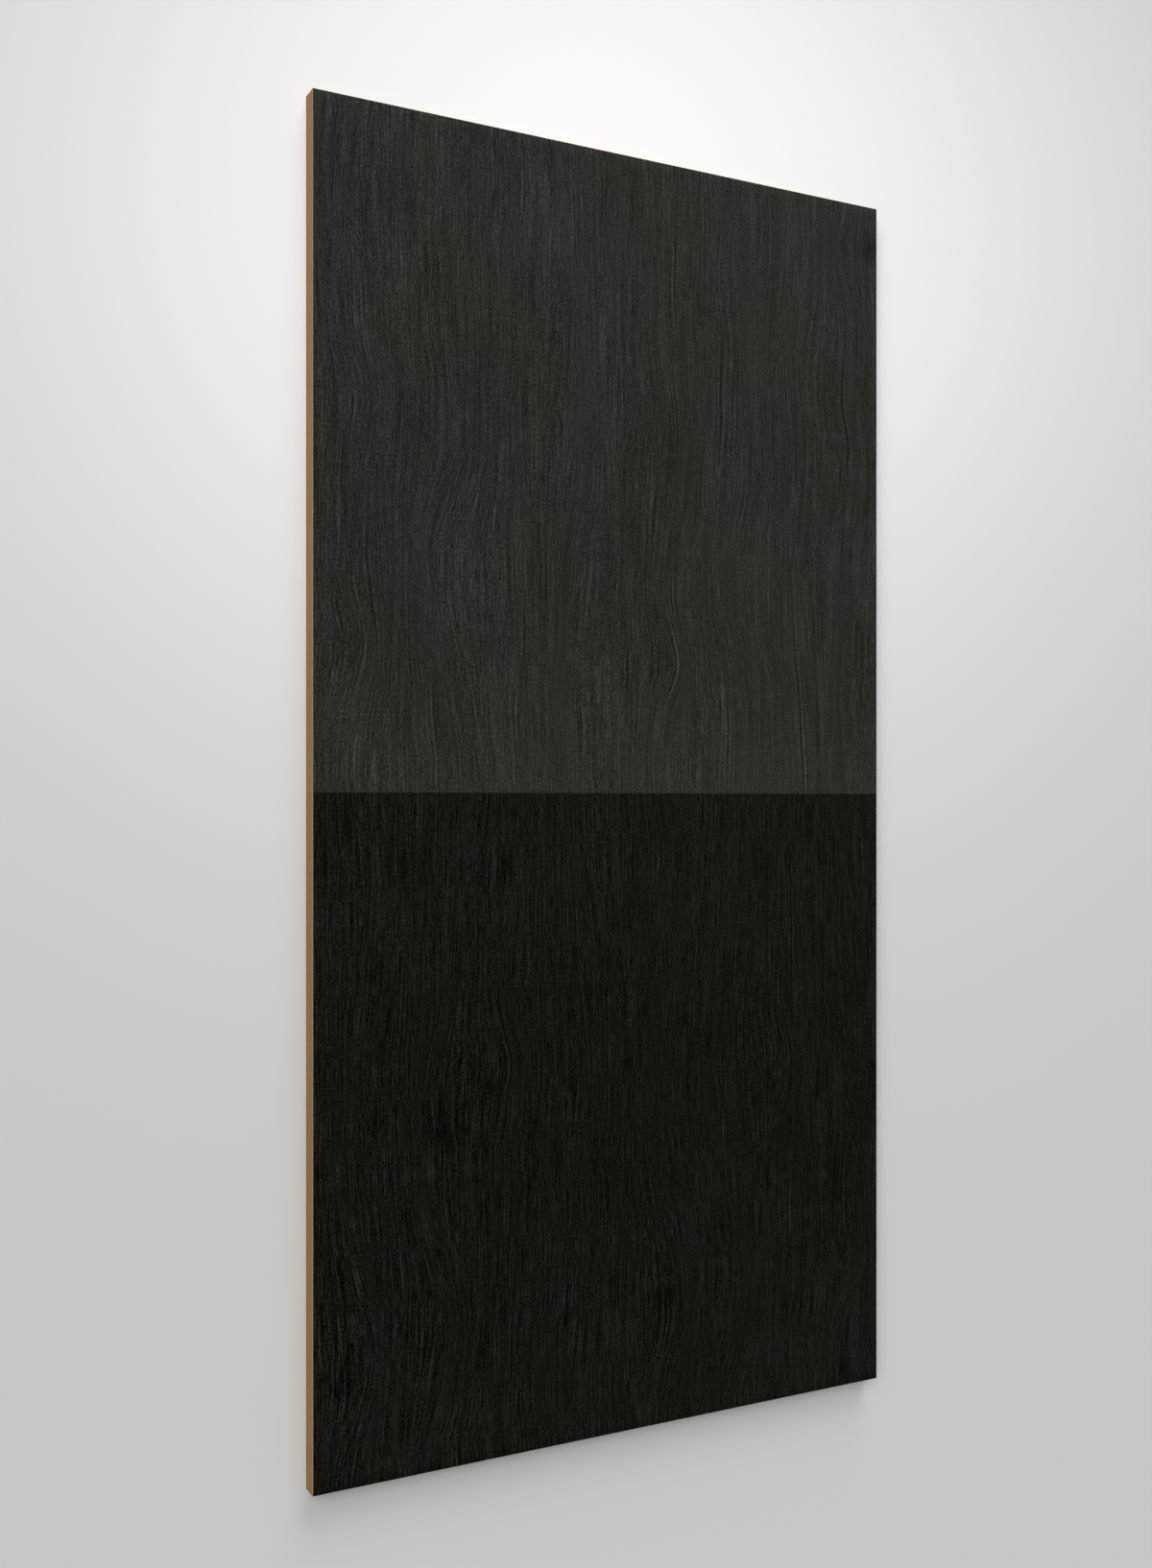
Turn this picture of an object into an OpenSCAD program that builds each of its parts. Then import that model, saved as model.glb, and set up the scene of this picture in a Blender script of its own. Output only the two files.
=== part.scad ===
// Veneered board: a fibreboard core with a thin sheet of wood veneer pressed onto each
// face. All three layers are sawn together, so their four sides are flush, and sanding
// leaves a fine bevel along the outer arrises of both veneers.
//
// Millimetres. The origin is the middle of the underside. +X runs across the grain,
// +Y along the grain and +Z out of the show face.

/* [Board] */
// Width of the board, across the grain
board_width = 610; // [150:5:1250]
// Length of the board, along the grain
board_length = 1220; // [300:10:3050]

/* [Layers] */
// Thickness of the fibreboard core
core_thickness = 18; // [3:1:38]
// Thickness of the veneer on the show face
face_thickness = 0.6; // [0.5:0.1:3]
// Thickness of the balancing veneer on the back
back_thickness = 0.6; // [0.5:0.1:3]

/* [Edges] */
// Width of the bevel that sanding leaves on the show face's arrises
face_bevel = 0.2; // [0.1:0.05:0.4]
// Width of the bevel that sanding leaves on the back's arrises
back_bevel = 0.2; // [0.1:0.05:0.4]

/* [Hidden] */
core_bottom = back_thickness;
core_top = core_bottom + core_thickness;

// Cross-section of a veneer: `across` wide and flat on Y = 0, where it is glued, with a
// bevel on each of its two outer corners.
module veneer_section(across, thickness, bevel) {
    half = across / 2;
    polygon([
        [-half, 0],
        [half, 0],
        [half, thickness - bevel],
        [half - bevel, thickness],
        [-half + bevel, thickness],
        [-half, thickness - bevel]
    ]);
}

// One whole sheet of veneer, glued side down on Z = 0. The sections across and along the
// grain meet in a mitre at each corner.
module veneer_sheet(thickness, bevel) {
    intersection() {
        rotate([90, 0, 0])
            linear_extrude(board_length, center = true)
                veneer_section(board_width, thickness, bevel);
        rotate([90, 0, 90])
            linear_extrude(board_width, center = true)
                veneer_section(board_length, thickness, bevel);
    }
}

// The plain board between the veneers.
module fibreboard_core() {
    color("#8a6c4c")
        translate([-board_width / 2, -board_length / 2, core_bottom])
            cube([board_width, board_length, core_thickness]);
}

// The dark show veneer, glued to the top of the core.
module face_veneer() {
    color("#262622")
        translate([0, 0, core_top])
            veneer_sheet(face_thickness, face_bevel);
}

// The balancing veneer, glued to the underside of the core so that the board stays flat.
module back_veneer() {
    color("#2b2a25")
        translate([0, 0, core_bottom])
            mirror([0, 0, 1])
                veneer_sheet(back_thickness, back_bevel);
}

fibreboard_core();
face_veneer();
back_veneer();
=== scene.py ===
"""Looks of a veneered board: a black-stained wood face, a plainer back and the sawn fibreboard core.

The board lies flat with its face up and its grain along Y. The lines of grain run straight until a
bend carries them sideways or spreads them apart. The veneers' mesh columns follow those lines, and
a UV map carries them to the materials, so that relief and colour run together.
"""

import math

import bpy
import numpy as np
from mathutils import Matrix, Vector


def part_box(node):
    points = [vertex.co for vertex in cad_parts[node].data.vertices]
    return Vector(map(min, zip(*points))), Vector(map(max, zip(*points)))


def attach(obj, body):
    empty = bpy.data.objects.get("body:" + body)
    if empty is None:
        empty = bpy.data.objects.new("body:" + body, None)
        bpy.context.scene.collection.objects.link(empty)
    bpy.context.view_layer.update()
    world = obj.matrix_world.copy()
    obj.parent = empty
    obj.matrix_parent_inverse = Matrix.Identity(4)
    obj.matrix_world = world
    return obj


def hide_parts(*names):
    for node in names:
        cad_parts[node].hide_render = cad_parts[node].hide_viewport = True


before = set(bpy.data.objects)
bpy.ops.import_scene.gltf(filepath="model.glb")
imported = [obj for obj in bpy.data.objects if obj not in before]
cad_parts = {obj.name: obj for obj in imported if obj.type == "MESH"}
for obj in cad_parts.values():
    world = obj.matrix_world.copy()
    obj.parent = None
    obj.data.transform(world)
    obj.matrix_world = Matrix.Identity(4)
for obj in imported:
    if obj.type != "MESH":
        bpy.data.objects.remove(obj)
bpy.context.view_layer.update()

MM = 0.001
GRAIN_MAP = "Grain"  # x is the line of grain that a point lies on, y its place along the board
FIGURE_MAP = "Figure"  # x is the height of the streaks, y the tone of the figure and of broad painted light and shade, both round 0.5
BAKE_MAP = "OFBake"  # the whole surface laid out once, inside 0 to 1

core_low, core_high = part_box("fibreboard_core")
_, face_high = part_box("face_veneer")
BOARD_WIDTH = core_high.x - core_low.x
BOARD_LENGTH = core_high.y - core_low.y
AROUND_BOARD = 2 * (BOARD_WIDTH + BOARD_LENGTH)
BEVEL = 0.2 * MM  # left by sanding along the veneers' outer edges
BESIDE_BOARD = 40 * MM  # how far past the board's sides lines of grain are followed
LINES_FOLLOWED = 1600  # enough to find where any line between them lies


# ---------------------------------------------------------------- noise and grain


def smooth_noise(across, along, width, length, seed):
    """Gradient noise from about -1 to 1, in lumps of about this width and length in millimetres."""
    cells = 256
    turn = np.random.default_rng(seed).uniform(0, 2 * np.pi, (cells, cells))
    across = across / (width * MM)
    along = along / (length * MM)
    column = np.floor(across).astype(int)
    row = np.floor(along).astype(int)
    across = across - column
    along = along - row
    ease_x = across**3 * (across * (across * 6 - 15) + 10)
    ease_y = along**3 * (along * (along * 6 - 15) + 10)

    def corner(right, up):
        angle = turn[(row + up) % cells, (column + right) % cells]
        return np.cos(angle) * (across - right) + np.sin(angle) * (along - up)

    low = corner(0, 0) + (corner(1, 0) - corner(0, 0)) * ease_x
    high = corner(0, 1) + (corner(1, 1) - corner(0, 1)) * ease_x
    full_swing = 1.6
    return full_swing * (low + (high - low) * ease_y)


class Bend:
    """A place, in millimetres, where lines of grain are carried `sideways` and spread `apart`.

    x and y say where the bend shows, which is `sideways` away from where its lines started.
    It reaches `length` along the board each way, or towards -Y as far as `below` says.
    """

    def __init__(self, x, y, width, length, sideways, apart=0.0, below=None):
        self.line, self.y = (x - sideways) * MM, y * MM
        self.width, self.length = width * MM, length * MM
        self.below = (below or length) * MM
        self.sideways, self.apart = sideways * MM, apart * MM

    def shift(self, line, y):
        """How far these lines of grain have moved sideways at one place along the board."""
        across = (line - self.line) / self.width
        along = (y - self.y) / (self.length if y > self.y else self.below)
        return np.exp(-(across**2) - along**2) * (self.sideways + self.apart * across)


class Mark:
    """A dark (below 0) or pale (above 0) patch round (x, y) that lies along the lines of grain.

    `width` and `length` are its reach to each side, in millimetres, and `flank` is how much of the
    opposite tone lies along both of its sides.
    """

    def __init__(self, x, y, width, length, tone, flank=0.0):
        self.x, self.y = x * MM, y * MM
        self.width, self.length = width * MM, length * MM
        self.tone, self.flank = tone, flank

    def shade(self, line, y, own_line):
        """The tone that it gives each place, when it lies on the line of grain `own_line`."""
        across = np.abs(line - own_line) / self.width
        along = (y - self.y) / self.length
        beside = self.flank * np.exp(-((across - 2) ** 2))
        return self.tone * np.exp(-(along**4)) * (np.exp(-(across**2)) - beside)


class Thread(Mark):
    """One crisp line of grain that stands out, with the opposite tone along both sides."""

    def __init__(self, x, y, length, tone):
        super().__init__(x, y, width=1.1, length=length, tone=tone, flank=0.5)


# Placed at x and y in millimetres from the middle of the board, with +Y up the photo.
FACE_BENDS = [
    Bend(-270, 520, 45, 110, -10),
    Bend(-262, 345, 26, 45, 9),
    Bend(-264, 130, 26, 40, 14, 5, below=46),
    Bend(-268, 20, 26, 50, -6),
    Bend(-185, 340, 38, 70, 5),
    Bend(-192, 222, 34, 50, -22, below=150),
    Bend(-180, 190, 18, 34, 5),
    Bend(-150, 10, 36, 60, 6),
    Bend(-112, 130, 26, 60, 5),
    Bend(-70, 558, 14, 40, 6, below=30),
    Bend(-50, 450, 16, 70, 13, below=100),
    Bend(-56, 115, 22, 140, -18, below=220),
    Bend(-50, 340, 24, 60, 5, below=120),
    Bend(-30, 290, 24, 40, 4),
    Bend(58, 350, 34, 60, 13, below=90),
    Bend(60, 125, 22, 46, 17, 5, below=36),
    Bend(48, 40, 24, 45, -6),
    Bend(126, 80, 28, 80, 12, below=160),
    Bend(132, 340, 22, 70, 6, below=80),
    Bend(132, 205, 50, 80, -12, below=80),
    Bend(190, 400, 36, 70, -6),
    Bend(208, 225, 32, 90, -13, below=140),
    Bend(272, 350, 16, 45, 10, below=110),
    Bend(268, 150, 18, 110, -12, below=110),
    Bend(268, 10, 20, 120, -12, below=120),
    Bend(262, 455, 18, 60, 6, below=40),
    Bend(132, 462, 18, 38, 9, below=90),
    Bend(215, 440, 26, 50, -7),
    Bend(182, 565, 24, 50, 8),
    Bend(262, 560, 22, 40, -6),
    Bend(-188, 470, 18, 30, 4),
    Bend(-262, -240, 30, 60, -8, below=200),
    Bend(-256, -505, 24, 95, 20, 4, below=60),
    Bend(-262, -475, 14, 60, 9, below=120),
    Bend(-186, -474, 28, 70, 15, 4, below=60),
    Bend(-190, -606, 30, 46, -15),
    Bend(-196, -268, 24, 56, -12, below=150),
    Bend(-120, -252, 22, 34, 12, 4, below=60),
    Bend(-115, -60, 26, 70, 6),
    Bend(-120, -565, 28, 60, -6),
    Bend(55, -255, 30, 90, -8, below=90),
    Bend(126, -255, 30, 110, -13, below=110),
    Bend(194, -262, 24, 40, 12, below=70),
    Bend(266, -300, 30, 90, 8),
    Bend(68, -500, 24, 90, 24, 5, below=60),
    Bend(130, -490, 26, 70, 14, below=54),
    Bend(122, -606, 30, 46, -16),
    Bend(-64, -545, 24, 66, -7),
    Bend(192, -560, 28, 60, -9),
    Bend(262, -490, 20, 60, 5),
    Bend(258, -590, 24, 56, -5),
    Bend(-30, -260, 28, 66, 6),
    Bend(46, -365, 12, 30, 0, 5),
    Bend(112, -305, 10, 24, 0, 5),
    Bend(268, 300, 12, 30, 0, 6),
    Bend(-56, -290, 10, 24, 0, 5),
    Bend(-57, -488, 14, 36, 0, 6),
    Bend(262, -462, 12, 30, 0, 6),
    Bend(258, -590, 10, 24, 0, 5),
    Bend(118, 505, 12, 26, 0, 5),
    Bend(-130, 525, 12, 30, 0, 5),
]
FACE_MARKS_AND_PAINTED_LIGHT = [
    # The first eight marks are broad painted light and shade: paler at the +Y end and just below the
    # middle, darker in a band across each half, and darker on the left than the right.
    Mark(0, 600, 700, 150, 0.06),
    Mark(0, 190, 700, 120, -0.04),
    Mark(-260, 300, 90, 400, -0.04),
    Mark(120, 300, 80, 400, 0.03),
    Mark(0, -60, 700, 110, 0.04),
    Mark(0, -340, 700, 150, -0.03),
    Mark(-120, -300, 90, 350, -0.02),
    Mark(190, -300, 120, 350, 0.03),
    Mark(302, -150, 4, 140, 0.08),
    Mark(-133, 543, 3, 13, -0.25),
    Mark(-130, 513, 4, 8, 0.2),
    Mark(-190, 475, 3, 10, -0.25),
    Mark(-225, 540, 18, 30, -0.08),
    Mark(-60, 530, 16, 30, 0.06),
    Mark(192, 557, 2, 24, 0.4),
    Mark(118, 518, 3, 8, 0.25),
    Mark(297, 566, 9, 12, -0.45),
    Mark(-274, 127, 11, 20, -0.15),
    Mark(-274, 75, 10, 10, 0.15),
    Mark(-267, 32, 2, 21, 0.4),
    Mark(-185, 235, 8, 30, 0.1),
    Mark(40, 172, 3, 12, -0.25),
    Mark(44, 130, 8, 22, -0.15),
    Mark(40, 58, 3, 12, 0.2),
    Mark(52, 24, 2, 21, 0.4),
    Mark(114, 97, 3, 9, 0.3),
    Mark(267, 286, 2, 12, 0.4),
    Mark(302, 263, 4, 30, 0.2),
    Mark(-250, -15, 1.5, 16, 0.26),
    Mark(-54, -275, 3, 9, -0.23),
    Mark(-137, -262, 8, 14, -0.16),
    Mark(-184, -285, 6, 14, -0.13),
    Mark(110, -63, 2, 13, -0.26),
    Mark(118, -175, 8, 20, -0.08),
    Mark(277, -132, 2.5, 9, -0.26),
    Mark(10, -272, 6, 24, -0.13),
    Mark(-183, -312, 7, 10, -0.2),
    Mark(-204, -340, 2.5, 10, 0.16),
    Mark(-262, -470, 7, 10, 0.1),
    Mark(-265, -495, 8, 14, -0.08),
    Mark(-274, -517, 6, 12, -0.23),
    Mark(-201, -507, 4, 16, -0.23),
    Mark(-58, -490, 5, 10, -0.2),
    Mark(48, -487, 6, 10, -0.32),
    Mark(118, -467, 2, 9, 0.23),
    Mark(110, -510, 7, 18, 0.1),
    Mark(188, -512, 3, 8, -0.23),
    Mark(262, -592, 7, 10, -0.26),
    Mark(302, -360, 4, 50, 0.13),
]
FACE_THREADS = [
    Thread(-50, 535, 42, -0.6),
    Thread(-126, 532, 15, 0.35),
    Thread(-105, 550, 13, 0.3),
    Thread(-261, 432, 23, 0.35),
    Thread(-264, 375, 18, 0.35),
    Thread(-269, 338, 14, -0.35),
    Thread(-186, 475, 10, 0.3),
    Thread(-206, 425, 20, -0.3),
    Thread(-125, 430, 15, 0.3),
    Thread(-120, 330, 22, 0.3),
    Thread(-114, 330, 22, 0.3),
    Thread(-138, 474, 19, -0.3),
    Thread(60, 513, 32, -0.6),
    Thread(12, 488, 12, -0.3),
    Thread(122, 491, 12, 0.35),
    Thread(261, 394, 60, -0.6),
    Thread(258, 325, 18, -0.35),
    Thread(52, 365, 34, 0.3),
    Thread(56, 365, 34, 0.3),
    Thread(60, 365, 34, 0.3),
    Thread(113, 375, 60, -0.55),
    Thread(132, 375, 50, -0.55),
    Thread(122, 375, 45, 0.3),
    Thread(150, 327, 20, 0.3),
    Thread(185, 400, 43, -0.35),
    Thread(211, 390, 57, -0.35),
    Thread(191, 430, 15, 0.3),
    Thread(278, 482, 17, -0.3),
    Thread(-248, 150, 80, -0.6),
    Thread(-266, 178, 22, 0.3),
    Thread(-258, 118, 30, 0.55),
    Thread(-192, 50, 50, 0.6),
    Thread(-195, 265, 18, 0.3),
    Thread(-185, 250, 20, 0.55),
    Thread(-151, 265, 9, 0.55),
    Thread(-133, 254, 10, 0.55),
    Thread(-125, 169, 14, 0.3),
    Thread(-113, 175, 48, 0.35),
    Thread(-102, 140, 28, -0.55),
    Thread(-111, 68, 27, 0.6),
    Thread(-80, 205, 30, -0.55),
    Thread(-32, 88, 34, -0.3),
    Thread(36, 268, 32, -0.6),
    Thread(41, 268, 22, 0.35),
    Thread(56, 186, 26, -0.6),
    Thread(64, 125, 44, 0.6),
    Thread(7, 120, 20, -0.6),
    Thread(112, 86, 10, -0.6),
    Thread(121, 50, 42, -0.6),
    Thread(112, 39, 30, 0.3),
    Thread(125, 116, 32, 0.3),
    Thread(145, 166, 17, -0.3),
    Thread(207, 90, 80, -0.55),
    Thread(213, 43, 40, 0.55),
    Thread(181, 155, 30, 0.3),
    Thread(271, 200, 14, -0.3),
    Thread(285, 120, 50, -0.35),
    Thread(275, 94, 33, 0.3),
    Thread(-292, -30, 30, 0.2),
    Thread(-208, -22, 15, 0.2),
    Thread(-123, -30, 16, 0.25),
    Thread(-109, -32, 16, 0.25),
    Thread(-109, -118, 15, -0.2),
    Thread(-267, -122, 22, 0.25),
    Thread(-255, -175, 26, 0.3),
    Thread(-200, -180, 20, -0.25),
    Thread(-219, -178, 14, 0.2),
    Thread(-194, -280, 22, 0.4),
    Thread(-168, -225, 24, 0.2),
    Thread(-173, -228, 24, 0.2),
    Thread(-49, -125, 28, -0.4),
    Thread(-57, -168, 11, 0.25),
    Thread(-38, -178, 24, -0.25),
    Thread(-54, -292, 9, 0.25),
    Thread(-119, -240, 34, 0.4),
    Thread(-125, -240, 30, -0.25),
    Thread(44, -55, 17, -0.4),
    Thread(132, -22, 24, -0.4),
    Thread(142, -50, 20, 0.2),
    Thread(216, -20, 18, 0.3),
    Thread(196, -115, 85, -0.3),
    Thread(177, -60, 13, 0.4),
    Thread(132, -172, 26, -0.4),
    Thread(181, -192, 15, 0.4),
    Thread(176, -228, 15, 0.4),
    Thread(199, -232, 17, -0.4),
    Thread(261, -118, 44, -0.4),
    Thread(112, -265, 28, 0.4),
    Thread(18, -218, 15, -0.25),
    Thread(194, -275, 27, 0.2),
    Thread(-262, -372, 27, 0.4),
    Thread(-248, -370, 17, 0.25),
    Thread(-194, -418, 15, 0.25),
    Thread(-171, -448, 27, -0.3),
    Thread(-178, -370, 30, -0.2),
    Thread(-126, -418, 9, 0.3),
    Thread(-54, -398, 13, 0.25),
    Thread(-280, -478, 23, 0.4),
    Thread(-278, -532, 23, 0.25),
    Thread(-204, -495, 36, 0.4),
    Thread(-200, -570, 27, 0.25),
    Thread(-194, -568, 27, 0.2),
    Thread(-188, -566, 27, 0.2),
    Thread(-113, -512, 19, 0.2),
    Thread(-118, -512, 19, 0.2),
    Thread(-147, -512, 19, -0.25),
    Thread(-47, -505, 27, -0.4),
    Thread(-61, -562, 21, -0.25),
    Thread(-268, -590, 15, 0.4),
    Thread(115, -335, 23, 0.4),
    Thread(37, -455, 19, 0.4),
    Thread(62, -428, 20, 0.2),
    Thread(66, -495, 17, -0.25),
    Thread(45, -568, 25, -0.3),
    Thread(130, -492, 23, -0.3),
    Thread(117, -537, 15, -0.3),
    Thread(126, -560, 25, 0.2),
    Thread(138, -582, 19, 0.3),
    Thread(192, -424, 26, -0.4),
    Thread(196, -424, 26, 0.2),
    Thread(191, -550, 23, 0.3),
    Thread(259, -400, 38, -0.4),
    Thread(281, -392, 11, 0.4),
    Thread(274, -440, 30, -0.25),
    Thread(269, -535, 36, -0.3),
    Thread(254, -588, 15, 0.25),
]
# The photo doesn't show the back, which has a few gentle bends of its own.
BACK_BENDS = [
    Bend(-150, 280, 90, 200, 12),
    Bend(120, -120, 110, 240, -14),
    Bend(40, 420, 80, 180, 8),
    Bend(-60, -420, 100, 220, 10),
]


def wander(line, y, seed):
    """The small sideways drift of a line of grain."""
    return (
        1.7 * MM * smooth_noise(line, y, 55, 75, seed)
        + 1.0 * MM * smooth_noise(line, y, 26, 42, seed + 1)
        + 0.5 * MM * smooth_noise(line, y, 12, 24, seed + 2)
    )


def lines_across(y, bends, seed):
    """Lines of grain that start evenly spread, and how far across the board they lie at y."""
    reach = BOARD_WIDTH / 2 + BESIDE_BOARD
    lines = np.linspace(-reach, reach, LINES_FOLLOWED)
    places = lines + wander(lines, y, seed) + sum(bend.shift(lines, y) for bend in bends)
    return lines, places


def line_at(x, y, bends, seed):
    """The line of grain that passes through a place."""
    lines, places = lines_across(y, bends, seed)
    return np.interp(x, places, lines)


def figure_and_painted_light_tone(line, y, marks, bends, seed):
    """How much paler or darker all the marks together make each place."""
    shades = [mark.shade(line, y, line_at(mark.x, mark.y, bends, seed)) for mark in marks]
    return sum(shades, np.zeros_like(line))


def streak_height(line, y, seed):
    """Height of the hard and soft streaks, from 0 in the sunk ones to 1 in the proud ones."""
    wide = smooth_noise(line, y, 9, 110, seed + 10)
    middle = smooth_noise(line, y, 4.2, 60, seed + 11)
    fine = smooth_noise(line, y, 2.2, 34, seed + 12)
    return np.clip(0.5 + 0.3 * wide + 0.4 * middle + 0.4 * fine, 0, 1)


# ---------------------------------------------------------------- meshes


def place_object(name, data):
    """A new object in the scene that shows a mesh, a lamp or a camera."""
    thing = bpy.data.objects.new(name, data)
    bpy.context.scene.collection.objects.link(thing)
    return thing


def mesh_piece(name, places, faces, maps, materials, face_materials, smooth):
    """A piece from vertex places, faces and UV maps given corner by corner or vertex by vertex."""
    mesh = bpy.data.meshes.new(name)
    mesh.from_pydata(places, [], faces)
    corners = np.zeros(len(mesh.loops), np.int64)
    mesh.loops.foreach_get("vertex_index", corners)
    for map_name, values in maps.items():
        layer = mesh.uv_layers.new(name=map_name)
        if len(values) == len(places):
            values = values[corners]
        layer.uv.foreach_set("vector", np.ascontiguousarray(values, np.float32).ravel())
    for material in materials:
        mesh.materials.append(material)
    mesh.polygons.foreach_set("material_index", face_materials)
    mesh.polygons.foreach_set("use_smooth", smooth)
    mesh.validate()
    return place_object(name, mesh)


def fan(ring, middle, face_up):
    """Triangles that close a ring of vertices round one in its middle."""
    after = np.roll(ring, -1)
    middles = np.full(len(ring), middle)
    order = (ring, after, middles) if face_up else (after, ring, middles)
    return np.stack(order, -1)


def spread(values, length, low, high):
    """Places from -length/2 to length/2 taken to low..high."""
    return low + (values / length + 0.5) * (high - low)


def flat_layout(places, faces, margin, low, high):
    """The bake's layout of flat faces: their plan, from margin to margin and from low to high."""
    x = spread(places[:, 0], BOARD_WIDTH, margin, 1 - margin)
    y = spread(places[:, 1], BOARD_LENGTH, low, high)
    return np.stack([x, y], -1)[faces].reshape(-1, 2)


# ---------------------------------------------------------------- veneers


def with_arrises(steps):
    """Steps from one edge to the other, with one more step a bevel's width in from each end."""
    first, last = steps[:1], steps[-1:]
    return np.concatenate([first, first + BEVEL, steps[1:-1], last - BEVEL, last])


def grain_columns(y, columns, bends, seed):
    """Lines of grain and their places for one row of a veneer, from its left arris to its right.

    The lines are evenly spread, and only those near the two arrises ease over to meet them.
    """
    half = BOARD_WIDTH / 2
    lines, places = lines_across(y, bends, seed)
    share = np.linspace(0, 1, columns)
    wanted = half * (2 * share - 1)
    left, right = np.interp([-half, half], places, lines)
    ease = 8
    wanted = wanted + (left + half) * (1 - share) ** ease + (right - half) * share**ease
    placed = np.interp(wanted, lines, places)
    placed[0], placed[-1] = -half, half
    return wanted, placed


def set_border(grid, value):
    """Gives the first and last row and column of a grid one value."""
    grid[[0, -1]] = value
    grid[:, [0, -1]] = value


def veneer_layout(places, quads, sides, closing, first_under):
    """The bake's layout: strips for the glued and the sawn sides, and the outer side above them."""
    margin = 0.004
    sawn_low, sawn_high = 0.018, 0.026
    glued = flat_layout(places, closing, margin, low=0.003, high=0.014)
    outer = flat_layout(places, quads, margin, low=0.03, high=1 - margin)
    steps = margin + (1 - 2 * margin) * np.arange(len(sides) + 1) / len(sides)
    start, end = steps[:-1], steps[1:]
    sawn_x = np.stack([start, start, end, end], -1)
    sawn_y = np.where(sides >= first_under, sawn_low, sawn_high)
    sawn = np.stack([sawn_x, sawn_y], -1).reshape(-1, 2)
    return np.concatenate([outer, sawn, glued])


def grained_surface(outer, face_up, columns, rows, depth, bends, marks, seed):
    """The outer side of a veneer, with its grain sunk into it: its places and both its maps."""
    along = with_arrises(np.linspace(-BOARD_LENGTH / 2, BOARD_LENGTH / 2, rows))
    traced = [grain_columns(y, columns, bends, seed) for y in along]
    line = np.array([with_arrises(lines) for lines, _ in traced])
    x = np.array([with_arrises(across) for _, across in traced])
    y = np.broadcast_to(along[:, None], x.shape)
    height = streak_height(line, y, seed)
    tone = figure_and_painted_light_tone(line, y, marks, bends, seed)
    sunk = depth * (1 - height)
    set_border(sunk, BEVEL)
    z = outer - sunk if face_up else outer + sunk
    places = np.stack([x, y, z], -1)
    grain = np.stack([line, y], -1)
    figure = np.stack([height, 0.5 + 0.5 * tone], -1)
    return places.reshape(-1, 3), grain.reshape(-1, 2), figure.reshape(-1, 2)


def veneer(name, node, columns, rows, depth, bends, marks, seed, materials):
    """A sheet of veneer: a grid for its outer side, sawn sides round it and a flat glued side.

    The first material is the outer side's. The second is the sawn wood's, and shows on the bevels
    too.
    """
    low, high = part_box(node)
    face_up = node == "face_veneer"
    outer, glued = (high.z, low.z) if face_up else (low.z, high.z)
    grid, grain, figure = grained_surface(
        outer, face_up, columns, rows, depth, bends, marks, seed
    )

    # The sawn sides run from the grid's rim to a ring of vertices in the glued plane.
    index = np.arange(len(grid)).reshape(rows + 2, columns + 2)
    rim = np.concatenate([index[0, :-1], index[:-1, -1], index[-1, :0:-1], index[:0:-1, 0]])
    ring = grid[rim]
    ring[:, 2] = glued
    places = np.concatenate([grid, ring, [[0, 0, glued]]])
    under = len(grid) + np.arange(len(rim))
    quads = np.stack([index[:-1, :-1], index[:-1, 1:], index[1:, 1:], index[1:, :-1]], -1)
    quads = quads.reshape(-1, 4)
    sides = np.stack([rim, under, np.roll(under, -1), np.roll(rim, -1)], -1)
    if not face_up:
        quads = quads[:, ::-1]
        sides = sides[:, ::-1]
    closing = fan(under, len(places) - 1, face_up=not face_up)

    maps = {
        GRAIN_MAP: np.concatenate([grain, grain[rim], [[0, 0]]]),
        FIGURE_MAP: np.concatenate([figure, figure[rim], [[0.5, 0.5]]]),
        BAKE_MAP: veneer_layout(places, quads, sides, closing, len(grid)),
    }
    faces = quads.tolist() + sides.tolist() + closing.tolist()
    grid_slots = np.zeros((rows + 1, columns + 1), int)
    set_border(grid_slots, 1)
    slots = grid_slots.ravel().tolist() + [1] * (len(sides) + len(closing))
    smooth = [True] * (len(quads) + len(sides)) + [False] * len(closing)
    return mesh_piece(name, places, faces, maps, materials, slots, smooth)


# ---------------------------------------------------------------- core


def edge_walk(count):
    """Steps round the board from its -X -Y corner: how far each one has come, and where it is.

    The last two answers say which way the board lies from it.
    """
    half_width, half_length = BOARD_WIDTH / 2, BOARD_LENGTH / 2
    travel = np.arange(count) * AROUND_BOARD / count
    past_near_end = travel - BOARD_WIDTH
    past_right = past_near_end - BOARD_LENGTH
    to_go = AROUND_BOARD - travel
    far_right = BOARD_WIDTH + BOARD_LENGTH
    far_left = 2 * BOARD_WIDTH + BOARD_LENGTH
    sides = [travel < stop for stop in (BOARD_WIDTH, far_right, far_left, AROUND_BOARD)]
    x = np.select(sides, [travel - half_width, half_width, half_width - past_right, -half_width])
    y = np.select(sides, [-half_length, past_near_end - half_length, half_length, to_go - half_length])
    inward_x = np.select(sides, [0, -1, 0, 1])
    inward_y = np.select(sides, [1, 0, -1, 0])
    return travel, x, y, inward_x, inward_y


def core_layout(places, under, over, strips, columns, rows):
    """The bake's layout: the two glued sides, and above them the sawn sides in strips."""
    margin = 0.005
    first_strip = 0.09
    pitch = 0.075
    strip_height = 0.062
    strip, column = np.divmod(np.arange(strips * columns), columns)
    steps = margin + np.arange(columns + 1) / columns * (1 - 2 * margin)
    start, end = steps[column], steps[column + 1]
    rise = np.arange(rows)[:, None] / (rows - 1) * strip_height
    bottom = first_strip + strip * pitch
    low, high = bottom + rise[:-1], bottom + rise[1:]
    sawn_x = np.broadcast_to(np.stack([start, end, end, start], -1), low.shape + (4,))
    sawn_y = np.stack([low, low, high, high], -1)
    sawn = np.stack([sawn_x, sawn_y], -1).reshape(-1, 2)
    lower = flat_layout(places, under, margin, low=0.005, high=0.035)
    upper = flat_layout(places, over, margin, low=0.045, high=0.075)
    return np.concatenate([sawn, lower, upper])


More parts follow.
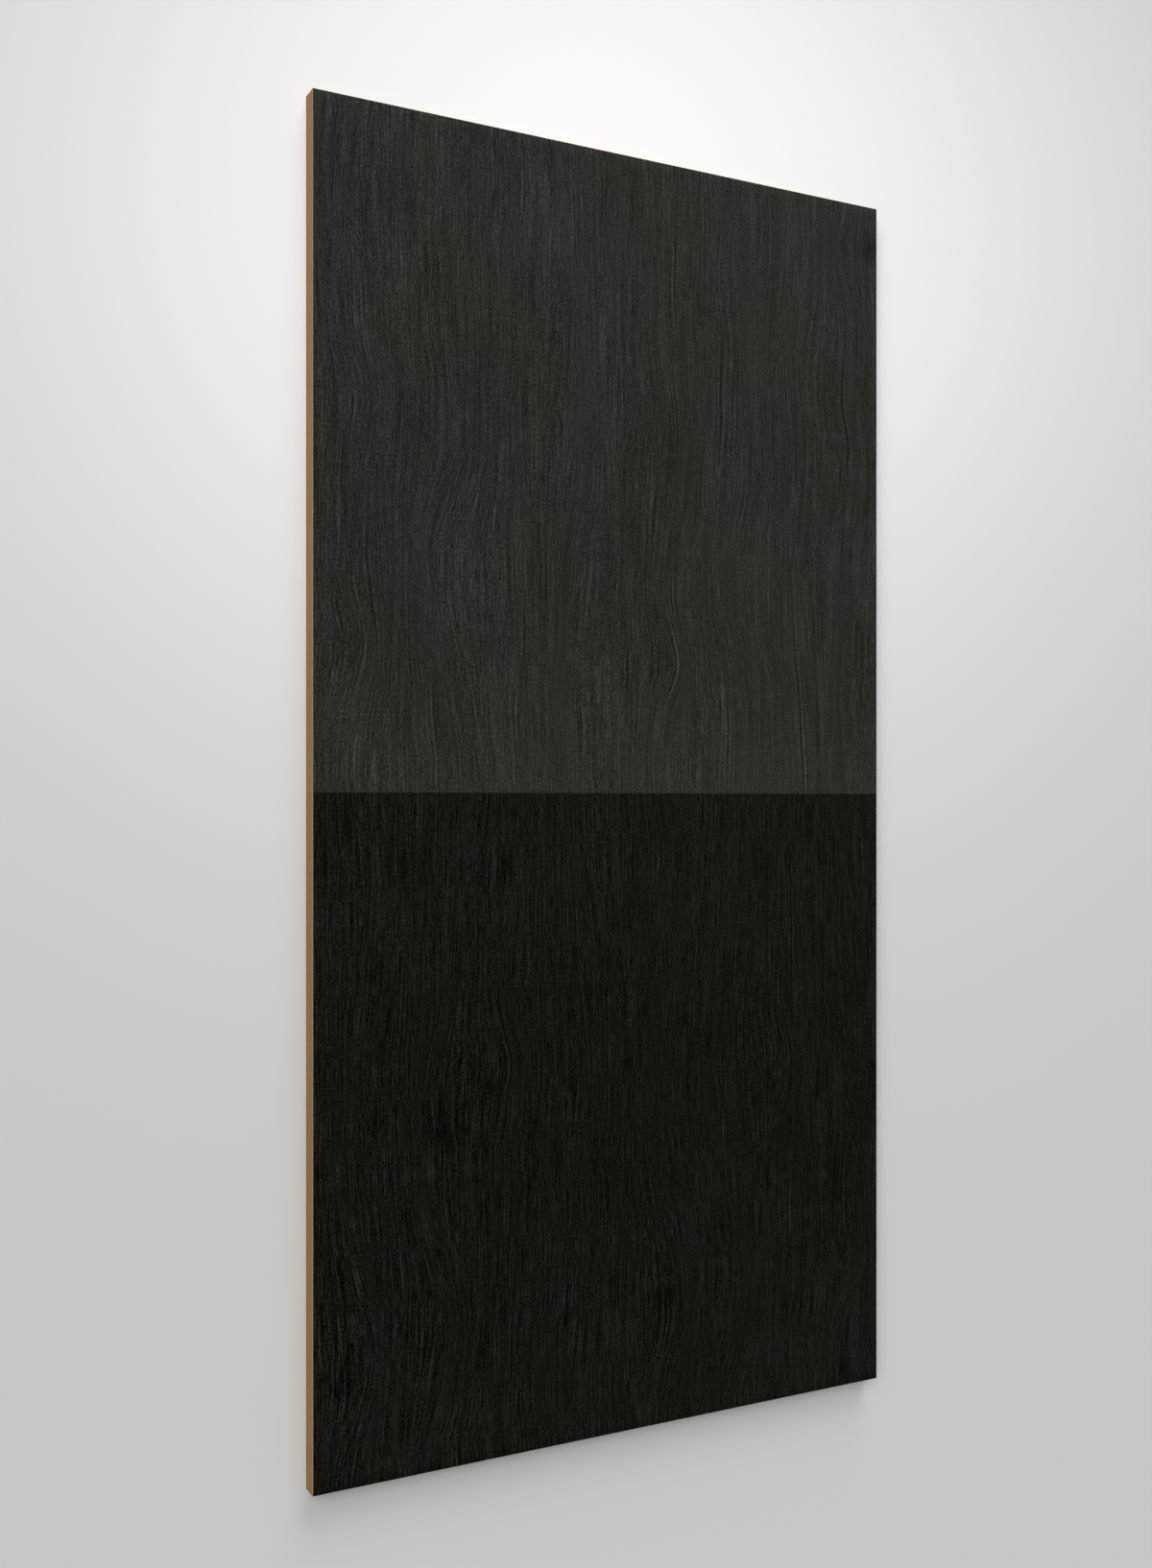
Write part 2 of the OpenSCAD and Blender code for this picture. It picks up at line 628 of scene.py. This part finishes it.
def sawn_core(name, node, strips, columns, rows, depth, seed, materials):
    """The core: a block whose four sawn sides are a little uneven, in strips of equal length.

    Its maps say how far round the board and how high a place is, and how near to either face.
    """
    low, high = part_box(node)
    count = strips * columns
    travel, x, y, inward_x, inward_y = edge_walk(count)
    run, rise = np.meshgrid(travel, np.linspace(low.z, high.z, rows))
    torn = smooth_noise(run, rise, 7, 3, seed)
    grooved = smooth_noise(run, rise, 3, 40, seed + 1)
    sunk = depth * np.clip(0.5 + 0.5 * (torn + 0.6 * grooved), 0, 1)
    width_steps = round(count * BOARD_WIDTH / AROUND_BOARD)
    corners = [0, width_steps, count // 2, count // 2 + width_steps]
    sunk[[0, -1]] = 0
    sunk[:, corners] = 0

    places = np.stack([x + inward_x * sunk, y + inward_y * sunk, rise], -1).reshape(-1, 3)
    places = np.concatenate([places, [[0, 0, low.z], [0, 0, high.z]]])
    index = np.arange(rows * count).reshape(rows, count)
    after = np.roll(index, -1, axis=1)
    quads = np.stack([index[:-1], after[:-1], after[1:], index[1:]], -1).reshape(-1, 4)
    under = fan(index[0], rows * count, face_up=False)
    over = fan(index[-1], rows * count + 1, face_up=True)

    all_run = np.append(run, [0, 0])
    all_rise = np.append(rise, [low.z, high.z])
    off_middle = np.abs(2 * (all_rise - low.z) / (high.z - low.z) - 1)
    maps = {
        GRAIN_MAP: np.stack([all_run, all_rise], -1),
        FIGURE_MAP: np.stack([0.5 + 0.5 * off_middle, np.full(len(places), 0.5)], -1),
        BAKE_MAP: core_layout(places, under, over, strips, columns, rows),
    }
    faces = quads.tolist() + under.tolist() + over.tolist()
    smooth = [True] * len(quads) + [False] * (len(under) + len(over))
    return mesh_piece(name, places, faces, maps, materials, [0] * len(faces), smooth)


# ---------------------------------------------------------------- materials


class Nodes:
    """A node tree, with short calls for the kinds of node that are used here."""

    def __init__(self, tree):
        self.nodes = tree.nodes
        self.links = tree.links

    def put(self, value, socket):
        """Links a socket, or sets a number, vector or colour."""
        if isinstance(value, bpy.types.NodeSocket):
            self.links.new(value, socket)
        else:
            socket.default_value = value

    def uv(self, map_name):
        node = self.nodes.new("ShaderNodeUVMap")
        node.uv_map = map_name
        return node.outputs["UV"]

    def coordinates(self, kind):
        return self.nodes.new("ShaderNodeTexCoord").outputs[kind]

    def parts(self, vector):
        """The X, Y and Z of a vector."""
        node = self.nodes.new("ShaderNodeSeparateXYZ")
        self.put(vector, node.inputs[0])
        return tuple(node.outputs)

    def joined(self, x, y, z):
        node = self.nodes.new("ShaderNodeCombineXYZ")
        for value, socket in zip((x, y, z), node.inputs):
            self.put(value, socket)
        return node.outputs[0]

    def math(self, operation, first, second=0.0):
        node = self.nodes.new("ShaderNodeMath")
        node.operation = operation
        self.put(first, node.inputs[0])
        self.put(second, node.inputs[1])
        return node.outputs[0]

    def add(self, *terms):
        total = terms[0]
        for term in terms[1:]:
            total = self.math("ADD", total, term)
        return total

    def weigh(self, value, weight):
        return self.math("MULTIPLY", value, weight)

    def swing(self, value, size):
        """value's swing round 0.5, times `size`."""
        return self.weigh(self.math("SUBTRACT", value, 0.5), size)

    def between(self, value, low, high, out_low=0.0, out_high=1.0, smooth=False):
        """value taken from low..high to out_low..out_high, and held at the ends."""
        node = self.nodes.new("ShaderNodeMapRange")
        node.interpolation_type = "SMOOTHSTEP" if smooth else "LINEAR"
        self.put(value, node.inputs["Value"])
        node.inputs["From Min"].default_value = low
        node.inputs["From Max"].default_value = high
        node.inputs["To Min"].default_value = out_low
        node.inputs["To Max"].default_value = out_high
        return node.outputs["Result"]

    def vector_math(self, operation, vector, other, socket):
        node = self.nodes.new("ShaderNodeVectorMath")
        node.operation = operation
        self.put(vector, node.inputs[0])
        self.put(other, node.inputs[socket])
        return node.outputs[0]

    def times(self, vector, factors):
        """A vector or colour with each of its three parts multiplied by its own factor."""
        return self.vector_math("MULTIPLY", vector, factors, 1)

    def scaled(self, vector, factor):
        """A vector or colour with all of its parts multiplied by one factor."""
        return self.vector_math("SCALE", vector, factor, "Scale")

    def mix(self, factor, first, second):
        node = self.nodes.new("ShaderNodeMix")
        node.data_type = "RGBA"
        self.put(factor, node.inputs["Factor"])
        self.put(first, node.inputs["A"])
        self.put(second, node.inputs["B"])
        return node.outputs["Result"]

    def noise(self, vector, across, along, detail=0.0, rough=0.5):
        """Noise with lumps of about this many millimetres across and along the grain."""
        cells = self.times(vector, (1 / (across * MM), 1 / (along * MM), 1))
        node = self.nodes.new("ShaderNodeTexNoise")
        node.noise_dimensions = "2D"
        self.put(cells, node.inputs["Vector"])
        node.inputs["Scale"].default_value = 1.0
        node.inputs["Detail"].default_value = detail
        node.inputs["Roughness"].default_value = rough
        return node.outputs["Fac"]


class Finish(Nodes):
    """A material's nodes, with calls for what they end in."""

    def __init__(self, name, specular, roughness):
        self.material = bpy.data.materials.new(name)
        self.material.use_nodes = True
        super().__init__(self.material.node_tree)
        self.shader = self.nodes["Principled BSDF"]
        self.shader.inputs["Specular IOR Level"].default_value = specular
        self.shader.inputs["Roughness"].default_value = roughness

    def colour(self, colour):
        self.put(colour, self.shader.inputs["Base Color"])

    def roughness(self, value):
        self.put(value, self.shader.inputs["Roughness"])

    def bump(self, height, depth):
        """Fine relief of this many millimetres, from a height of 0 to 1."""
        node = self.nodes.new("ShaderNodeBump")
        node.inputs["Distance"].default_value = depth * MM
        self.put(height, node.inputs["Height"])
        self.links.new(node.outputs["Normal"], self.shader.inputs["Normal"])


def rings(finish, grain, lines, patches):
    """Crisp long lines beside each other, from -1 to 1, that come and go in patches.

    `lines` and `patches` are sizes across and along the grain, in millimetres. Noise lies round
    0.5, so a narrow band there makes its slopes crisp.
    """
    wave = finish.between(finish.noise(grain, *lines), 0.40, 0.60, -1, 1, smooth=True)
    patch = finish.between(finish.noise(grain, *patches), 0.38, 0.62, 0.2, 1)
    return finish.weigh(wave, patch)


def ridges_with_painted_shadow(finish, grain, lines, patches, thin):
    """Pale proud lines, each with a dark furrow on one side, that come and go in patches; in colour
    the dark furrow is a painted shadow.

    `lines` and `patches` are sizes across and along the grain, in millimetres. `thin` is how far
    the noise rises across half a line.
    """
    level = finish.math("SUBTRACT", finish.noise(grain, *lines), 0.5)
    crest = finish.between(finish.math("ABSOLUTE", level), 0, thin, 1, 0, smooth=True)
    beside = finish.math("ABSOLUTE", finish.math("ADD", level, 1.5 * thin))
    furrow_and_painted_shadow = finish.between(beside, 0, thin, 0.8, 0, smooth=True)
    patch = finish.between(finish.noise(grain, *patches), 0.47, 0.62, 0, 1)
    return finish.weigh(finish.math("SUBTRACT", crest, furrow_and_painted_shadow), patch)


def face_figure(finish, grain, line, height, tone, on_half):
    """The face's streaks, round 0, and their fine relief, round 0.5."""
    salt = finish.noise(grain, 1.4, 2.4)
    dash = finish.noise(grain, 0.9, 12)
    fibre = finish.noise(grain, 0.95, 45)
    strand = finish.noise(grain, 2.7, 130)
    fine_rings = rings(finish, grain, lines=(1.8, 150), patches=(22, 90))
    wide_rings = rings(finish, grain, lines=(3.8, 150), patches=(30, 110))
    fine_ridges_and_painted_shadows = ridges_with_painted_shadow(finish, grain, lines=(5.5, 200), patches=(24, 130), thin=0.055)
    wide_ridges_and_painted_shadows = ridges_with_painted_shadow(finish, grain, lines=(10, 260), patches=(34, 160), thin=0.045)
    crisp = finish.add(
        finish.swing(salt, on_half(darker_half=0.85, paler_half=1.05)),
        finish.swing(dash, 0.8),
        finish.swing(fibre, on_half(darker_half=0.95, paler_half=0.7)),
        finish.weigh(fine_rings, 0.10),
    )
    broad = finish.add(
        finish.swing(strand, 0.4),
        finish.weigh(wide_rings, 0.04),
        # The ridges' dark furrows here are painted shadows beside the pale lines.
        finish.weigh(fine_ridges_and_painted_shadows, 0.16),
        finish.weigh(wide_ridges_and_painted_shadows, 0.15),
        finish.swing(finish.noise(grain, 8, 90), 0.18),
        finish.swing(finish.noise(grain, 20, 130, detail=1), 0.20),
        finish.swing(finish.noise(grain, 90, 150, detail=1), 0.20),
        finish.swing(height, 0.1),
    )
    fainter_rightwards = finish.between(line, -300 * MM, 300 * MM, 1.0, 0.74)
    streaks = finish.add(
        finish.weigh(crisp, fainter_rightwards),
        finish.weigh(broad, on_half(darker_half=0.6, paler_half=0.95)),
        finish.swing(tone, 2.0),
    )
    relief = finish.add(
        finish.swing(salt, 0.25),
        finish.swing(fibre, 0.4),
        finish.weigh(fine_rings, 0.10),
        finish.weigh(wide_rings, 0.14),
        finish.weigh(fine_ridges_and_painted_shadows, 0.15),
        finish.weigh(wide_ridges_and_painted_shadows, 0.2),
        0.5,
    )
    return streaks, relief


def face_stain(finish, grain, line, along, painted_reflection_half):
    """The stained wood's colour, redder in clouds, more so at the board's two ends and on its left."""
    from_middle = finish.math("ABSOLUTE", finish.add(along, 50 * MM))
    leaning = finish.math("SUBTRACT", from_middle, finish.weigh(line, 0.4))
    redder = finish.between(leaning, 150 * MM, 350 * MM, -0.13, 0.13, smooth=True)
    clouds = finish.add(finish.noise(grain, 110, 170, detail=2), redder)
    redness = finish.between(clouds, 0.35, 0.65)
    # On the +Y half the colour is painted lighter than the wood's own: a painted reflection.
    wood_with_painted_reflection = finish.mix(redness, (0.0245, 0.0253, 0.0197, 1), (0.0258, 0.0249, 0.0207, 1))
    darker_wood = finish.mix(redness, (0.0069, 0.0072, 0.0041, 1), (0.0074, 0.0069, 0.0045, 1))
    return finish.mix(painted_reflection_half, darker_wood, wood_with_painted_reflection)


def face_wood():
    """Black-stained wood, darker on the -Y half; the +Y half is rougher and its colour is painted a
    shade lighter, a painted reflection.
    """
    finish = Finish("stained_wood_face", specular=0.02, roughness=0.6)
    grain = finish.uv(GRAIN_MAP)
    height, tone, _ = finish.parts(finish.uv(FIGURE_MAP))
    line, along, _ = finish.parts(grain)
    # The +Y half is painted lighter, a painted reflection with a crisp edge at the middle, and is
    # rougher.
    crossing = 0.4 * MM
    painted_reflection_half = finish.between(along, -crossing, crossing)

    def on_half(darker_half, paler_half):
        return finish.between(painted_reflection_half, 0, 1, darker_half, paler_half)

    # Streaks multiply the wood's colour: pale ones raise it by more than dark ones lower it.
    streaks, relief = face_figure(finish, grain, line, height, tone, on_half)
    swell = finish.weigh(streaks, on_half(darker_half=2.36, paler_half=1.22))
    power = on_half(darker_half=2.4, paler_half=5.0)
    brightness = finish.math("POWER", finish.add(finish.math("DIVIDE", swell, power), 1.0), power)
    blueness = finish.math("POWER", brightness, on_half(darker_half=1.29, paler_half=1.08))
    wood = face_stain(finish, grain, line, along, painted_reflection_half)
    finish.colour(finish.times(wood, finish.joined(brightness, brightness, blueness)))
    finish.roughness(on_half(darker_half=0.56, paler_half=0.80))
    finish.bump(relief, 0.5)
    return finish.material


def back_wood():
    """The same stained wood on the plainer back veneer, unsealed all over."""
    finish = Finish("stained_wood_back", specular=0.06, roughness=0.75)
    grain = finish.uv(GRAIN_MAP)
    height, _, _ = finish.parts(finish.uv(FIGURE_MAP))
    fibre = finish.noise(grain, 1.0, 22)
    strand = finish.noise(grain, 2.2, 70)
    streaks = finish.add(
        finish.swing(finish.noise(grain, 0.9, 6), 0.7),
        finish.swing(fibre, 0.7),
        finish.swing(strand, 0.5),
        finish.swing(finish.noise(grain, 7, 140), 0.4),
        finish.swing(finish.noise(grain, 60, 260, detail=1), 0.4),
        finish.swing(height, 0.25),
    )
    finish.colour(finish.scaled((0.021, 0.020, 0.0165), finish.add(streaks, 1.0)))
    finish.bump(finish.add(finish.swing(fibre, 0.5), finish.swing(strand, 0.5), 0.5), 0.4)
    return finish.material


def veneer_side():
    """Sawn and sanded veneer, on its sides and bevels, paler than its stained face."""
    finish = Finish("sawn_veneer_side", specular=0.2, roughness=0.8)
    fleck = finish.noise(finish.uv(GRAIN_MAP), 1.5, 1.5, detail=2)
    finish.colour(finish.mix(fleck, (0.22, 0.165, 0.10, 1), (0.29, 0.23, 0.145, 1)))
    return finish.material


def fibreboard():
    """Sawn fibreboard: matted fibres, darker near both faces, and pale just under the show face."""
    finish = Finish("sawn_fibreboard", specular=0.1, roughness=0.9)
    place = finish.uv(GRAIN_MAP)
    _, rise, _ = finish.parts(place)
    off_middle, _, _ = finish.parts(finish.uv(FIGURE_MAP))
    fibre = finish.noise(place, 0.35, 0.12, detail=3, rough=0.7)
    tuft = finish.noise(place, 2.2, 0.8, detail=2)
    saw = finish.noise(place, 1.4, 60, detail=1)
    shade = finish.add(
        1.0,
        finish.swing(fibre, 0.5),
        finish.swing(tuft, 0.25),
        finish.swing(saw, 0.18),
        finish.between(off_middle, 0.7, 1.0, 0.02, -0.14, smooth=True),
    )
    pale_from = core_high.z - 2.2 * MM
    pale_to = core_high.z - 1.0 * MM
    beside_face = finish.between(rise, pale_from, pale_to, smooth=True)
    board = finish.mix(beside_face, (0.280, 0.166, 0.071, 1), (0.335, 0.250, 0.155, 1))
    finish.colour(finish.scaled(board, shade))
    finish.bump(finish.add(finish.swing(fibre, 0.6), finish.swing(saw, 0.4), 0.5), 0.25)
    return finish.material


# ---------------------------------------------------------------- pieces


def fit(piece, node):
    """Puts a piece on the board in its CAD node's stead."""
    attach(piece, "root")
    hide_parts(node)


sawn_side = veneer_side()
face = veneer(
    "face_veneer_sheet",
    "face_veneer",
    columns=600,
    rows=150,
    depth=0.12 * MM,
    bends=FACE_BENDS,
    marks=FACE_MARKS_AND_PAINTED_LIGHT + FACE_THREADS,
    seed=7,
    materials=[face_wood(), sawn_side],
)
fit(face, "face_veneer")
back = veneer(
    "back_veneer_sheet",
    "back_veneer",
    columns=400,
    rows=90,
    depth=0.10 * MM,
    bends=BACK_BENDS,
    marks=[],
    seed=31,
    materials=[back_wood(), sawn_side],
)
fit(back, "back_veneer")
core = sawn_core(
    "sawn_fibreboard_core",
    "fibreboard_core",
    strips=12,
    columns=200,
    rows=12,
    depth=0.10 * MM,
    seed=53,
    materials=[fibreboard()],
)
fit(core, "fibreboard_core")


# ---------------------------------------------------------------- floor, light and camera


def floor_finish():
    """Pale grey that brightens to white in a soft oval round the board's far end, a painted pool of
    light.

    The oval is a little wider and longer on the right, and further right at its far end.
    """
    finish = Finish("studio_floor", specular=0.0, roughness=1.0)
    x, y, _ = finish.parts(finish.coordinates("Object"))
    left, right = -0.6, 0.8
    half_width = finish.between(x, left, right, 0.54, 0.68)
    half_length = finish.between(x, left, right, 0.49, 0.58)
    middle_x = finish.between(y, 0.2, 0.8, -0.08, 0.01)
    middle_y = 0.57
    across = finish.math("DIVIDE", finish.math("SUBTRACT", x, middle_x), half_width)
    along = finish.math("DIVIDE", finish.math("SUBTRACT", y, middle_y), half_length)
    distance_squared = finish.add(finish.weigh(across, across), finish.weigh(along, along))
    glow = finish.math("POWER", math.e, finish.weigh(distance_squared, -1.0))
    pale_grey = (0.591, 0.584, 0.565, 1)
    white = (1.0, 1.0, 1.0, 1)
    finish.colour(finish.mix(glow, pale_grey, white))
    return finish.material


def studio_floor(radius, sides):
    """A level floor at height 0 that reaches `radius` metres each way."""
    turns = [2 * math.pi * i / sides for i in range(sides)]
    rim = [(radius * math.cos(turn), radius * math.sin(turn), 0) for turn in turns]
    mesh = bpy.data.meshes.new("floor")
    mesh.from_pydata(rim, [], [list(range(sides))])
    mesh.materials.append(floor_finish())
    return place_object("floor", mesh)


def soft_light(name, zenith, towards, strength, angle):
    """A broad far lamp, `zenith` degrees from overhead on the side that `towards` points to."""
    lamp = bpy.data.lights.new(name, "SUN")
    lamp.energy = strength
    lamp.angle = math.radians(angle)
    x, y = towards
    light = place_object(name, lamp)
    light.rotation_euler = (0, math.radians(zenith), math.atan2(y, x))


def studio_world(light):
    """Pale round the horizon and darker overhead. It lights things with `light` times what is seen."""
    world = bpy.data.worlds.new("studio")
    world.use_nodes = True
    looks = Nodes(world.node_tree)
    background = looks.nodes["Background"]
    _, _, upwards = looks.parts(looks.coordinates("Generated"))
    ramp = looks.nodes.new("ShaderNodeValToRGB")
    horizon, overhead = ramp.color_ramp.elements
    horizon.position = 0.42  # as a sine, so up to 25 degrees above level
    horizon.color = (0.578, 0.571, 0.546, 1)
    overhead.position = 0.77  # from 50 degrees
    overhead.color = (0.13, 0.13, 0.13, 1)
    looks.put(upwards, ramp.inputs[0])
    looks.put(ramp.outputs[0], background.inputs["Color"])
    ray = looks.nodes.new("ShaderNodeLightPath").outputs
    seen = looks.math("MAXIMUM", ray["Is Camera Ray"], ray["Is Glossy Ray"])
    seen = looks.math("MAXIMUM", seen, ray["Is Transmission Ray"])
    looks.put(looks.between(seen, 0, 1, light, 1.0), background.inputs["Strength"])
    bpy.context.scene.world = world


def photo_camera(x, y, above_face, lean):
    """The photo's view, from above the board's face, `lean` degrees off straight down, towards +X."""
    optics = bpy.data.cameras.new("camera")
    optics.sensor_width = 36
    optics.lens = 36.273195
    optics.shift_y = 0.0105
    camera = place_object("camera", optics)
    camera.location = (x, y, face_high.z + above_face)
    camera.rotation_euler = (0, math.radians(-lean), 0)
    bpy.context.scene.camera = camera


floor = studio_floor(radius=30, sides=96)
soft_light("key", zenith=40, towards=(-0.8, 0.6), strength=2.57, angle=50)
soft_light("rim", zenith=68, towards=(0.15, 1.0), strength=1.65, angle=30)
studio_world(light=0.5)
photo_camera(x=-0.7333, y=-0.0071, above_face=1.3190, lean=27.44)
bpy.context.scene.view_settings.view_transform = "Standard"
